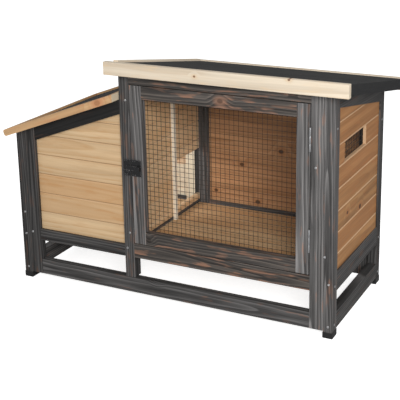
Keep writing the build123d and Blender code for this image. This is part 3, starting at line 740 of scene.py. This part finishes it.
def feltMaterial():
    material, tree = newMaterial("roofingFelt")
    own = put(tree, "ShaderNodeTexCoord").outputs["Object"]
    grains = put(tree, "ShaderNodeTexVoronoi", {"Vector": own, "Scale": felt["gritSize"]}).outputs
    speck = firstChannel(tree, grains["Color"])
    dust = useGroup(tree, settledDust, {"Coordinates": own, "Scale": felt["dustScale"],
                                        "Amount": felt["dustAmount"]})
    ripples = noise(tree, own, felt["rippleScale"], 2.0)[0]
    tint = mixed(tree, ramped(tree, speck, felt["paleFrom"], 1.0), colour(felt["grit"]),
                 colour(felt["gritPale"]))
    tint = mixed(tree, dust["Mask"], tint, colour(felt["dust"]))
    height = plus(tree, times(tree, grains["Distance"], felt["gritHeight"]),
                  times(tree, ripples, felt["rippleHeight"]))
    bump = put(tree, "ShaderNodeBump", {"Strength": felt["relief"],
                                        "Distance": felt["reliefDepth"],
                                        "Height": height}).outputs[0]
    shader = put(tree, "ShaderNodeBsdfPrincipled", {
        "Base Color": tint, "Roughness": lined(tree, speck, 0.0, 1.0, *felt["roughness"]),
        "Normal": bump, "Specular IOR Level": felt["gloss"]})
    put(tree, "ShaderNodeOutputMaterial", {0: shader.outputs[0]})
    arrange(tree)
    return material


feltSheet = feltMaterial()
for name in ("main_roof_felt", "nest_lid_felt"):
    dress(name, feltSheet)
    eased(name, edges["felt"])
print("felt laid")


# Metal and plastic

metals = {
    # on the latch the pale edges are a painted highlight as well as wear
    "blackPaint": {"base": (0.010, 0.010, 0.011), "wornAndHighlit": (0.42, 0.41, 0.41), "metallic": 0.0,
                   "roughness": (0.22, 0.36), "wearAndHighlight": 1.0, "wearAndHighlightRadius": 1.6},
    "zinc": {"base": (0.55, 0.55, 0.56), "wornAndHighlit": (0.75, 0.75, 0.76), "metallic": 1.0,
             "roughness": (0.25, 0.45), "wearAndHighlight": 0.5, "wearAndHighlightRadius": 0.5},
    "dullZinc": {"base": (0.50, 0.50, 0.51), "wornAndHighlit": (0.75, 0.75, 0.77), "metallic": 1.0,
                 "roughness": (0.35, 0.55), "wearAndHighlight": 0.5, "wearAndHighlightRadius": 0.5},
    "meshWire": {"base": (0.022, 0.019, 0.016), "wornAndHighlit": (0.06, 0.05, 0.045), "metallic": 0.0,
                 "roughness": (0.50, 0.70), "wearAndHighlight": 0.1, "wearAndHighlightRadius": 0.3},
    "footPlastic": {"base": (0.012, 0.012, 0.012), "wornAndHighlit": (0.05, 0.05, 0.05), "metallic": 0.0,
                    "roughness": (0.42, 0.58), "wearAndHighlight": 0.5, "wearAndHighlightRadius": 0.8},
}


coating = {
    "dust": (0.25, 0.24, 0.22), "dustScale": 60.0, "dustAmount": 0.12,
    "patches": (0.3, 0.7),
    "textureScale": 900.0, "relief": 0.15, "reliefDepth": 0.1 * mm,
}


def coatedMaterial(name):
    facts = metals[name]
    material, tree = newMaterial(name)
    own = put(tree, "ShaderNodeTexCoord").outputs["Object"]
    wearAndHighlight = useGroup(tree, edgeWearAndHighlight, {"Coordinates": own, "Radius": facts["wearAndHighlightRadius"] * mm,
                                     "Reach": facts["wearAndHighlight"]})
    dust = useGroup(tree, settledDust, {"Coordinates": own, "Scale": coating["dustScale"],
                                        "Amount": coating["dustAmount"]})
    tint = mixed(tree, wearAndHighlight["Mask"], colour(facts["base"]), colour(facts["wornAndHighlit"]))
    tint = mixed(tree, dust["Mask"], tint, colour(coating["dust"]))
    texture = noise(tree, own, coating["textureScale"], 2.0)[0]
    bump = put(tree, "ShaderNodeBump", {"Strength": coating["relief"],
                                        "Distance": coating["reliefDepth"],
                                        "Height": texture}).outputs[0]
    shader = put(tree, "ShaderNodeBsdfPrincipled", {
        "Base Color": tint, "Metallic": facts["metallic"], "Normal": bump,
        "Roughness": lined(tree, dust["Patches"], *coating["patches"], *facts["roughness"])})
    put(tree, "ShaderNodeOutputMaterial", {0: shader.outputs[0]})
    arrange(tree)
    return material


coats = {name: coatedMaterial(name) for name in metals}
for name in ("latch_plate", "latch_keeper", "latch_turn"):
    dress(name, coats["blackPaint"])
    eased(name, edges["latch"])
for name in ("door_hinge_frame_leaves", "door_hinge_door_leaves", "door_hinge_pins",
             "lid_hinge_wall_leaves", "lid_hinge_lid_leaves", "lid_hinge_pins"):
    dress(name, coats["dullZinc"])
    eased(name, edges["hinge"])
dress("foot_caps", coats["footPlastic"])
eased("foot_caps", edges["foot"], edges["footSegments"])
print("metal and plastic dressed")


# New pieces

def newPiece(name, shape, material, body):
    data = bpy.data.meshes.new(name)
    shape.to_mesh(data)
    shape.free()
    data.materials.append(material)
    for face in data.polygons:
        face.use_smooth = True
    piece = addObject(name, data)
    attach(piece, body)
    return piece


def skin(shape, rings):
    # faces between each ring of points and the next
    for one, two in zip(rings, rings[1:]):
        for side in range(len(one)):
            nextSide = (side + 1) % len(one)
            shape.faces.new((one[side], one[nextSide], two[nextSide], two[side]))


wires = {"sides": 8, "stray": 0.10 * mm, "steps": 14}


def roundWires(name, body):
    # each wire of the welded mesh is a round rod that strays a little from straight
    chance = random.Random(name)
    shape = bmesh.new()
    for low, high in solidBoxes(name):
        size = high - low
        along = max(range(3), key=lambda i: size[i])
        others = [i for i in range(3) if i != along]
        radius = min(size[i] for i in others) / 2
        centre = (low + high) / 2
        rings = []
        for step in range(wires["steps"] + 1):
            at = low[along] + size[along] * step / wires["steps"]
            stray = [chance.uniform(-1, 1) * wires["stray"] for _ in others]
            ring = []
            for side in range(wires["sides"]):
                angle = math.tau * side / wires["sides"]
                point = Vector(centre)
                point[along] = at
                point[others[0]] += radius * math.cos(angle) + stray[0]
                point[others[1]] += radius * math.sin(angle) + stray[1]
                ring.append(shape.verts.new(point))
            rings.append(ring)
        skin(shape, rings)
        shape.faces.new(rings[0])
        shape.faces.new(rings[-1])
    bmesh.ops.recalc_face_normals(shape, faces=shape.faces)
    piece = newPiece(name + "Wires", shape, coats["meshWire"], body)
    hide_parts(name)


roundWires("door_mesh", "door")
roundWires("vent_mesh", "hutch")
print("mesh strung")


screws = {
    "radius": 4.0 * mm, "proud": 1.0 * mm, "sides": 32,
    "steps": (1.0, 0.97, 0.88, 0.72, 0.55, 0.40, 0.25, 0.10), "crown": 2.6,
    "slot": 0.55 * mm, "slotReach": 2.1 * mm, "slotFloor": 0.35,
}
latchScrews = {              # placed to be clear of the turning arm
    "radius": 2.2 * mm, "proud": 0.7 * mm,
    "inset": 5 * mm, "apart": 8 * mm,
    "keeperFace": 0.565,     # where the keeper's plate is, as a share of its depth
}


def screwHead(shape, place, out, radius, proud, turn):
    # a domed head with a cross recess; out is the direction that it faces
    quat = Vector((0, 0, 1)).rotation_difference(out)
    spin = Quaternion((0, 0, 1), turn)
    reach = screws["slotReach"] * radius / screws["radius"]
    rings = []
    for step in screws["steps"]:
        ring = []
        for side in range(screws["sides"]):
            angle = math.tau * side / screws["sides"]
            x = radius * step * math.cos(angle)
            y = radius * step * math.sin(angle)
            z = proud * math.sqrt(max(0.0, 1 - step ** screws["crown"]))
            narrow = min(abs(x), abs(y)) < screws["slot"] * radius / screws["radius"]
            if narrow and radius * step < reach:
                z *= screws["slotFloor"]
            ring.append(shape.verts.new(place + quat @ (spin @ Vector((x, y, z)))))
        rings.append(ring)
    skin(shape, rings)
    shape.faces.new(rings[-1])


def setFrameScrews(chance):
    shape = bmesh.new()
    for low, high in solidBoxes("frame_screws"):
        size = high - low
        through = min(range(3), key=lambda i: size[i])
        place = (low + high) / 2
        out = Vector((0, 0, 0))
        out[through] = 1 if place[through] > 0 else -1
        place[through] = low[through] if out[through] > 0 else high[through]
        screwHead(shape, place, out, screws["radius"], screws["proud"],
                  chance.uniform(0, math.tau))
    bmesh.ops.recalc_face_normals(shape, faces=shape.faces)
    heads = newPiece("frameScrewHeads", shape, coats["zinc"], "hutch")
    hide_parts("frame_screws")


def setLatchScrews(chance, node, body, depth):
    shape = bmesh.new()
    low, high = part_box(node)
    face = low.y + (high.y - low.y) * depth
    left = low.x + latchScrews["inset"]
    for x in (left, left + latchScrews["apart"]):
        for z in (low.z + latchScrews["inset"], high.z - latchScrews["inset"]):
            screwHead(shape, Vector((x, face, z)), Vector((0, -1, 0)), latchScrews["radius"],
                      latchScrews["proud"], chance.uniform(0, math.tau))
    bmesh.ops.recalc_face_normals(shape, faces=shape.faces)
    newPiece(node + "Screws", shape, coats["blackPaint"], body)


screwChance = random.Random(5)
setFrameScrews(screwChance)
setLatchScrews(screwChance, "latch_plate", "door", 0.0)
setLatchScrews(screwChance, "latch_keeper", "hutch", latchScrews["keeperFace"])
print("screws set")


# Floor and light

studio = {
    "floor": (0.93, 0.93, 0.93),
    "floorBounce": (0.52, 0.52, 0.52),
    "floorLift": 0.78,       # keeps the floor white away from the hutch
    "floorReach": 30,
    "ambient": 0.46,
    "backdrop": 1.0,
    "keyPower": 155.0, "keyPlace": (2.45, -3.75, 2.25), "keySize": 1.6, "keyAim": (0, 0, 0.45),
    "nestPower": 0.75, "nestSize": 0.22,
    "nestBack": 0.4, "nestUp": 0.30,       # share of the floor's depth, metres above it
    "nestAimRight": 0.1, "nestAimDown": 0.12,
}


def areaLight(name, power, place, size, aim):
    data = bpy.data.lights.new(name, "AREA")
    data.energy = power
    data.size = size
    lamp = addObject(name, data)
    lamp.location = place
    lamp.visible_camera = False
    lamp.rotation_mode = "QUATERNION"
    lamp.rotation_quaternion = (Vector(aim) - Vector(place)).to_track_quat("-Z", "Y")


def layFloor():
    shape = bmesh.new()
    bmesh.ops.create_grid(shape, x_segments=1, y_segments=1, size=studio["floorReach"])
    data = bpy.data.meshes.new("studioFloor")
    shape.to_mesh(data)
    shape.free()
    floor = addObject("studioFloor", data)
    paint, tree = newMaterial("studioFloorPaint")
    seen = put(tree, "ShaderNodeLightPath").outputs["Is Camera Ray"]
    plain = put(tree, "ShaderNodeBsdfDiffuse", {"Color": colour(studio["floorBounce"])})
    bright = put(tree, "ShaderNodeBsdfDiffuse", {"Color": colour(studio["floor"])})
    lift = put(tree, "ShaderNodeEmission", {"Strength": studio["floorLift"]})
    lifted = put(tree, "ShaderNodeAddShader", {0: bright.outputs[0], 1: lift.outputs[0]})
    both = put(tree, "ShaderNodeMixShader", {0: seen, 1: plain.outputs[0],
                                             2: lifted.outputs[0]})
    put(tree, "ShaderNodeOutputMaterial", {0: both.outputs[0]})
    arrange(tree)
    data.materials.append(paint)


def setSky():
    world = bpy.data.worlds.new("studioWorld")
    bpy.context.scene.world = world
    world.use_nodes = True
    tree = world.node_tree
    tree.nodes.clear()
    seen = put(tree, "ShaderNodeLightPath").outputs["Is Camera Ray"]
    strength = lined(tree, seen, 0.0, 1.0, studio["ambient"], studio["backdrop"])
    sky = put(tree, "ShaderNodeBackground", {"Color": (1, 1, 1, 1), "Strength": strength})
    put(tree, "ShaderNodeOutputWorld", {0: sky.outputs[0]})
    arrange(tree)


def setLights():
    areaLight("keyLight", studio["keyPower"], studio["keyPlace"], studio["keySize"],
              studio["keyAim"])
    # a soft lamp in the nest box, which lights the wall seen through the pop hole
    low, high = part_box("nest_floor")
    deep = low.y * (1 - studio["nestBack"]) + high.y * studio["nestBack"]
    inside = Vector(((low.x + high.x) / 2, deep, high.z + studio["nestUp"]))
    aim = (inside.x + studio["nestAimRight"], high.y, inside.z - studio["nestAimDown"])
    areaLight("nestLight", studio["nestPower"], inside, studio["nestSize"], aim)


layFloor()
setSky()
setLights()
bpy.context.scene.view_settings.view_transform = "Standard"
bpy.context.scene.view_settings.look = "None"
print("studio lit")
